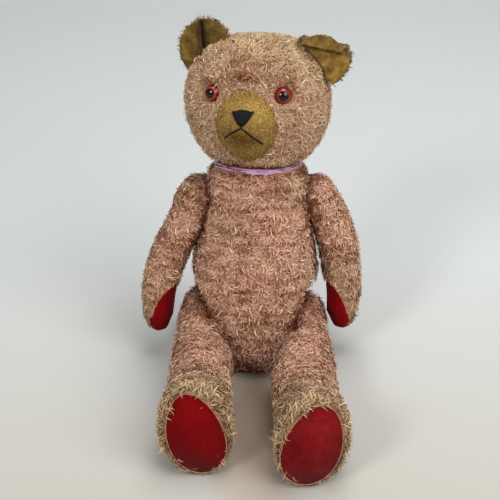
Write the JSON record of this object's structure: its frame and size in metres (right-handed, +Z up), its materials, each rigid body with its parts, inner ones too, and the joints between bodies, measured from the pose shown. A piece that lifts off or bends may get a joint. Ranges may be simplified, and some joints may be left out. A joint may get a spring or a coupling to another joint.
{
  "type": "threadbare teddy bear",
  "caption": "Sitting jointed mohair teddy bear, threadbare, with shaved muzzle, glass eyes, felt pads and soles, and a turning head, arms and legs held by discs and split pins.",
  "frame": {"origin": "on the flat of the seat, under the middle of the torso, where the bear sits", "axes": "+Z up, -Y the way the bear faces and its legs point, +X the bear's own left"},
  "size_m": [0.2393, 0.3451, 0.3632],
  "materials": {
    "mohair": "matte",
    "shaved_mohair": "matte",
    "velvet": "matte",
    "felt": "matte",
    "wood_wool": "matte",
    "hardboard": "matte",
    "insole_board": "matte",
    "joint_steel": "satin",
    "eye_glass": "gloss",
    "black_thread": "satin",
    "satin_ribbon": "satin",
    "dark_thread": "matte"
  },
  "bodies": {
    "torso": {"torso_cover": "mohair", "torso_stuffing": "wood_wool", "neck_body_disc": "hardboard", "neck_body_washer": "joint_steel", "neck_split_pin": "joint_steel", "left_shoulder_body_disc": "hardboard", "left_shoulder_body_washer": "joint_steel", "left_shoulder_split_pin": "joint_steel", "right_shoulder_body_disc": "hardboard", "right_shoulder_body_washer": "joint_steel", "right_shoulder_split_pin": "joint_steel", "left_hip_body_disc": "hardboard", "left_hip_body_washer": "joint_steel", "left_hip_split_pin": "joint_steel", "right_hip_body_disc": "hardboard", "right_hip_body_washer": "joint_steel", "right_hip_split_pin": "joint_steel", "neck_ribbon": "satin_ribbon", "loose_thread": "dark_thread"},
    "head": {"head_cover": "mohair", "head_stuffing": "wood_wool", "muzzle": "shaved_mohair", "left_eye": "eye_glass", "right_eye": "eye_glass", "left_eye_wire_loop": "joint_steel", "right_eye_wire_loop": "joint_steel", "left_ear_back": "mohair", "left_ear_front": "velvet", "right_ear_back": "mohair", "right_ear_front": "velvet", "nose_stitching": "black_thread", "mouth_stitching": "black_thread", "neck_limb_disc": "hardboard", "neck_limb_washer": "joint_steel"},
    "left_arm": {"left_arm_cover": "mohair", "left_arm_stuffing": "wood_wool", "left_paw_pad": "felt", "left_shoulder_limb_disc": "hardboard", "left_shoulder_limb_washer": "joint_steel"},
    "right_arm": {"right_arm_cover": "mohair", "right_arm_stuffing": "wood_wool", "right_paw_pad": "felt", "right_shoulder_limb_disc": "hardboard", "right_shoulder_limb_washer": "joint_steel"},
    "left_leg": {"left_leg_cover": "mohair", "left_leg_stuffing": "wood_wool", "left_sole": "felt", "left_insole": "insole_board", "left_hip_limb_disc": "hardboard", "left_hip_limb_washer": "joint_steel"},
    "right_leg": {"right_leg_cover": "mohair", "right_leg_stuffing": "wood_wool", "right_sole": "felt", "right_insole": "insole_board", "right_hip_limb_disc": "hardboard", "right_hip_limb_washer": "joint_steel"}
  },
  "joints": [
    {"name": "neck_turn", "type": "hinge", "parent": "torso", "child": "head", "pos_m": [0, 0.04046, 0.21828], "axis": [0, 0.1822, 0.9833], "continuous": true},
    {"name": "left_shoulder", "type": "hinge", "parent": "torso", "child": "left_arm", "pos_m": [0.049, 0.03317, 0.17895], "axis": [0.9848, 0.0316, 0.1707], "range_deg": [-100, 90]},
    {"name": "right_shoulder", "type": "hinge", "parent": "torso", "child": "right_arm", "pos_m": [-0.049, 0.03317, 0.17895], "axis": [0.9848, -0.0316, -0.1707], "range_deg": [-100, 90]},
    {"name": "left_hip", "type": "hinge", "parent": "torso", "child": "left_leg", "pos_m": [0.046, -0.008, 0.04], "axis": [1, 0, 0], "range_deg": [-12, 100]},
    {"name": "right_hip", "type": "hinge", "parent": "torso", "child": "right_leg", "pos_m": [-0.054, 0.006, 0.04], "axis": [1, 0, 0], "range_deg": [-12, 100]}
  ]
}
